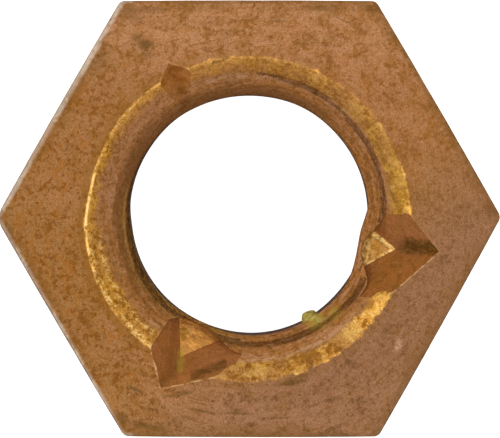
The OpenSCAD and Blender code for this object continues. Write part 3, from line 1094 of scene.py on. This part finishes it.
def olive_floor_and_highlight(net, mark, along, across):
    """The right-hand mark's floor: olive inside, with a painted highlight along its rims."""
    small = net.small
    tan_floor, tan_valley = (math.tan(math.radians(mark[k]))
                             for k in ("floor_slope", "valley_slope"))
    half = 0.5 * sum(math.radians(q) for q in mark["half_angles"])
    widening = math.tan(half) * (1 - tan_floor / tan_valley)
    lane = (along - mark["valley"]) * widening - abs(across) + small.sway(0.25)
    lit = net.floor * net.x.ramp(2.0, 2.5) * net.most(
        lane.band(0.05, half=0.02, soft=0.07), (along + small.sway(0.35)).ramp(2.12, 2.34))
    net.coat.add(
        (net.floor * net.x.ramp(2.0, 2.5), (170, 114, 24),
         lane.ramp(0.10, 0.20) * small.ramp(0.42, 0.54, gives=(0.10, 0.80))),
        (lit, (255, 212, 128), net.dots.ramp(0.60, 0.46) * 0.85),
    )


def mark_details(net):
    """Painted highlights on the burrs along the marks' edges, and painted shade along their
    valleys.
    """
    small, burr_highlights = net.small, None
    for i, (mark, paint) in enumerate(zip(MARKS, MARK_PAINT)):
        burr_highlight_strength, shade_offset, shade_width, shade_strength = paint
        tip, inward = mark_frame(mark)
        way_x, way_y = map(float, inward)
        dx, dy = net.x - float(tip[0]), net.y - float(tip[1])
        along = dx * way_x + dy * way_y
        across = dy * way_x - dx * way_y
        neg, pos = (math.radians(q) for q in mark["half_angles"])
        edge = net.most(across * -math.cos(neg) - along * math.sin(neg),
                        across * math.cos(pos) - along * math.sin(pos))
        # the burrs' painted highlight is on the face only
        burr_highlight = edge.band(0.025, half=0.015, soft=0.05) * (net.top * along.ramp(1.6, 1.2))
        burr_highlight = burr_highlight * small.ramp(0.42, 0.56) * across.ramp(-0.05, 0.05, gives=burr_highlight_strength)
        burr_highlights = net.most(burr_highlights, burr_highlight) if burr_highlights else burr_highlight
        # painted shade along the valley
        ragged = (small - 0.5).times_plus(0.7, abs(across + shade_offset))
        painted_shade = (ragged.ramp(shade_width, 0.06)
                * along.ramp(mark["valley"] * 1.10, mark["valley"] * 0.70))
        painted_shade = painted_shade * (net.flank * net.grain.ramp(0.28, 0.50))
        net.coat.add((painted_shade, (86, 58, 2), shade_strength))
        if i == 0:
            olive_floor_and_highlight(net, mark, along, across)
    net.coat.add((burr_highlights, (226, 180, 124), 0.75))

    either = net.most(net.flank, net.floor)
    lower = net.flank * net.y.ramp(-3.2, -3.4) * net.x.ramp(0.0, -0.3)
    net.coat.add(
        (lower, grained(net, (206, 136, 78)), 0.30),
        # in the lower mark: a painted shadow along the right flank's edge, a darker band left
        # of the valley, dirt on the floor
        (stroke(net, -1.80, -5.15, -0.84, -4.80, width=0.20), (94, 60, 15),
         either * net.cloud.ramp(0.40, 0.55, gives=(0.50, 0.78))),
        (stroke(net, -2.46, -3.55, -2.56, -4.75, width=0.17), (140, 86, 28), net.flank * 0.40),
        (stroke(net, -2.15, -3.75, -2.22, -3.95, width=0.22, wobble=0.5), (150, 104, 20),
         net.floor * 0.60),
        # a dark line by the upper mark
        (stroke(net, -1.17, 5.10, -0.71, 5.25, width=0.10), (124, 82, 34), 0.50),
    )


def edge_paint(net):
    """Edges: worn corners, a silvery painted highlight on the left, dull dark painted shade on
    the right.
    """
    x, depth, small = net.x, net.depth, net.small

    def towards(way_x, way_y):
        return net.vector("DOT_PRODUCT", net.place, (way_x, way_y, 0))

    cos30 = math.cos(math.radians(30))
    # distance in from the nearest side of the hexagon
    inset = APOTHEM - net.most(abs(net.y), abs(towards(cos30, 0.5)), abs(towards(cos30, -0.5)))
    rim = (net.most(inset, 0.0) + depth).fall(0.04, 0.16) * net.outer
    corner = (net.radius + net.side_specks.sway(0.12)).ramp(8.08, 8.17) * depth.ramp(0.05, 0.25)
    left = (APOTHEM - net.most(towards(-cos30, 0.5), towards(-cos30, -0.5))).ramp(0.45, 0.20)
    # rounded edges on the left: a silvery painted highlight
    net.wear = rim * left.blend(0.04, 0.92) * small.ramp(0.16, 0.40)
    # rounded edges on the right: dull dark painted shade
    right_edge_shade = rim * left.blend(0.50, 0.0) * small.ramp(0.66, 0.42, gives=(0.4, 1.0))
    # a dirty band just inside the edges
    band = (inset.band(0.16, half=0.08, soft=0.22) * net.top
            * x.ramp(1.5, -2.5, gives=(0.65, 1.0)))
    net.coat.add(
        (corner, grained(net, (206, 156, 104)), net.bars.ramp(0.60, 0.42, gives=(0.15, 0.55))),
        (net.wear, (196, 186, 170), 0.65),
        (right_edge_shade, (112, 76, 24)),
        (band, (136, 86, 18), (net.mottle + net.dots.sway(0.5)).ramp(0.40, 0.58) * 0.50),
        # dark line under the edge: painted shade
        (inset.ramp(0.02, -0.01) * (depth.ramp(0.05, 0.12) * depth.ramp(0.40, 0.15)),
         (84, 60, 34), 0.45),
    )


def green_traces(net):
    """Corrosion by the lump and in the lower mark."""
    def spot(x, y, depth, size):
        distance = net.vector("DISTANCE", net.place, (x, y, HEIGHT - depth))
        return (distance + net.small.sway(size * 0.9)).fall(size * 0.30, size)

    net.green = net.most(stroke(net, -2.22, -4.42, -2.25, -4.98, width=0.17) * 0.55,
                         spot(x=2.85, y=-3.20, depth=1.0, size=0.45) * 0.45,
                         spot(x=2.35, y=-3.55, depth=1.2, size=0.62) * 0.75)
    net.coat.add((net.green, (190, 160, 60)))


def relief(net):
    """Surface normal; each term's factor is its height in millimetres."""
    height = (net.grain * 0.0045 + net.fine * 0.0020 + net.small * 0.012 + net.mottle * 0.012
              - net.olive_specks * 0.006
              + net.rings * net.most(net.ends, net.bore) * 0.014
              + net.fine_rings * net.ends * 0.003
              + net.chatter * net.sink * 0.010
              + net.bars * net.wall * 0.012
              - net.scratch * 0.004 - net.holes * 0.014)
    # burnished lips lie flatter than the slope they sit on
    lift = net.most(net.mouth * 1.5, net.rows * 0.7)
    tilted = net.vector("ADD", net.bump(height), net.xyz(0.0, 0.0, lift))
    return net.vector("NORMALIZE", tilted)


def bronze():
    net = Graph(bpy.data.materials.new("aged_bronze_staked"))
    for step in (find_surfaces, make_noises, patina, bore_paint, groove_line_shade,
                 countersink_paint, mouth_highlight_and_stain, mark_surfaces, mark_details, edge_paint,
                 green_traces):
        step(net)
    bare = net.most(net.bright * 0.8, net.gold_floor * 0.7, net.wear * 0.7, net.mouth)
    shader = net.node("ShaderNodeBsdfPrincipled", {
        "Base Color": net.coat.colour,
        "Metallic": bare.blend(0.12, 0.85) * net.green.ramp(0.6, 0.0, gives=(0.15, 1.0)),
        "Roughness": net.calc("ADD", bare.blend(0.60, 0.36), net.small.sway(0.35), clamp=True),
        "Specular IOR Level": 0.16,
        "Normal": relief(net)})
    return net.finish("ShaderNodeOutputMaterial", shader)


def verdigris():
    net = Graph(bpy.data.materials.new("verdigris_crust"))
    place = net.millimetres()
    patches = net.noise(place, scale=3.2, detail=4, rough=0.6, warp=0.3)
    crumbs = net.noise(place, scale=13.0, detail=4, rough=0.7)
    dust = net.noise(place, scale=40.0, detail=2, rough=0.6)
    coat = Coat(net, net.mix(patches.ramp(0.36, 0.62), (150, 132, 40), (192, 172, 78)))
    coat.add((crumbs.ramp(0.52, 0.70), (214, 200, 120), 0.7),
             (crumbs.ramp(0.44, 0.30), (108, 84, 20), 0.7))
    shader = net.node("ShaderNodeBsdfPrincipled", {
        "Base Color": coat.colour,
        "Roughness": patches.ramp(0.3, 0.7, gives=(0.70, 0.92)),
        "Normal": net.bump(crumbs * 0.03 + dust * 0.010)})
    return net.finish("ShaderNodeOutputMaterial", shader)


for piece, material in ((nut, bronze), (crust, verdigris)):
    piece.data.materials.clear()
    piece.data.materials.append(material())

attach(nut, "root")
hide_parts("hex_nut_body")
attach(crust, "root")
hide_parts("verdigris_deposit")


# ------------------------------------------------------- the stage, in metres
WHITE = (1, 1, 1, 1)


def floor():
    """A pale floor just under the nut, that glows more to the camera than to the scene."""
    half, z = 1.5, -0.00002
    ob = mesh_object("pale_floor", [(-half, -half, z), (half, -half, z), (half, half, z),
                                    (-half, half, z)], [(0, 1, 2, 3)])
    net = Graph(bpy.data.materials.new("pale_floor"))
    seen = net.node("ShaderNodeLightPath", output="Is Camera Ray")
    diffuse = net.node("ShaderNodeBsdfDiffuse", {"Color": (0.82, 0.82, 0.82, 1)})
    glow = net.node("ShaderNodeEmission", {"Color": WHITE, "Strength": seen.blend(0.10, 0.93)})
    both = net.node("ShaderNodeAddShader", (diffuse, glow))
    ob.data.materials.append(net.finish("ShaderNodeOutputMaterial", both))


def softbox(name, at, size, watts, colour=(1, 1, 1)):
    """A round area light aimed at the middle of the top face."""
    light = bpy.data.lights.new(name, "AREA")
    light.shape = "DISK"
    light.size = size
    light.energy = watts
    light.color = colour
    ob = bpy.data.objects.new(name, light)
    bpy.context.scene.collection.objects.link(ob)
    ob.location = at
    way = Vector((0, 0, HEIGHT / 1000)) - Vector(at)
    ob.rotation_euler = way.to_track_quat("-Z", "Y").to_euler()


def studio(scene):
    """Soft tent: a bright panel overhead, a little more light from the left."""
    world = bpy.data.worlds.new("soft_studio")
    scene.world = world
    net = Graph(world)
    way = net.node("ShaderNodeTexCoord", output="Generated")
    height = net.split(way)[2]
    left_way = tuple(Vector((-0.80, 0.42, 0.42)).normalized())
    left = net.vector("DOT_PRODUCT", way, left_way)
    base, left_gain, overhead_gain = 0.42, 0.09, 0.88
    glow = (base + left.ramp(-0.15, 0.95) * left_gain
            + height.ramp(0.66, 0.95) * overhead_gain)
    seen = net.node("ShaderNodeLightPath", output="Is Camera Ray")
    net.finish("ShaderNodeOutputWorld", net.node("ShaderNodeBackground",
                                                 (WHITE, seen.blend(glow, 1.0))))


def camera(scene):
    """Long lens from above, leaning back a little towards +Y."""
    # in millimetres: aim on the top face, eye's offset from it, width of the view there
    aim_x, aim_y = 0.04262295, -0.02622951
    back, distance = 3.3, 420.0
    view_width = 16.393443
    aim = Vector((aim_x, aim_y, HEIGHT)) / 1000
    eye = Vector((aim_x, aim_y + back, HEIGHT + distance)) / 1000
    data = bpy.data.cameras.new("photo_view")
    data.sensor_fit = "HORIZONTAL"
    data.sensor_width = 36.0
    data.lens = 36.0 * distance / view_width
    data.clip_start = 0.01
    data.clip_end = 10.0
    ob = bpy.data.objects.new("photo_view", data)
    scene.collection.objects.link(ob)
    ob.location = eye
    ob.rotation_euler = (-math.atan2(eye.y - aim.y, eye.z - aim.z), 0, 0)
    scene.camera = ob


scene = bpy.context.scene
floor()
softbox("left_softbox", at=(-0.26, 0.12, 0.16), size=0.16, watts=0.12, colour=(1.0, 0.99, 0.97))
softbox("overhead", at=(-0.02, 0.03, 0.40), size=0.20, watts=0.16)
studio(scene)
scene.view_settings.view_transform = "Standard"
scene.view_settings.look = "None"
scene.view_settings.exposure = 0.0
scene.view_settings.gamma = 1.0
camera(scene)
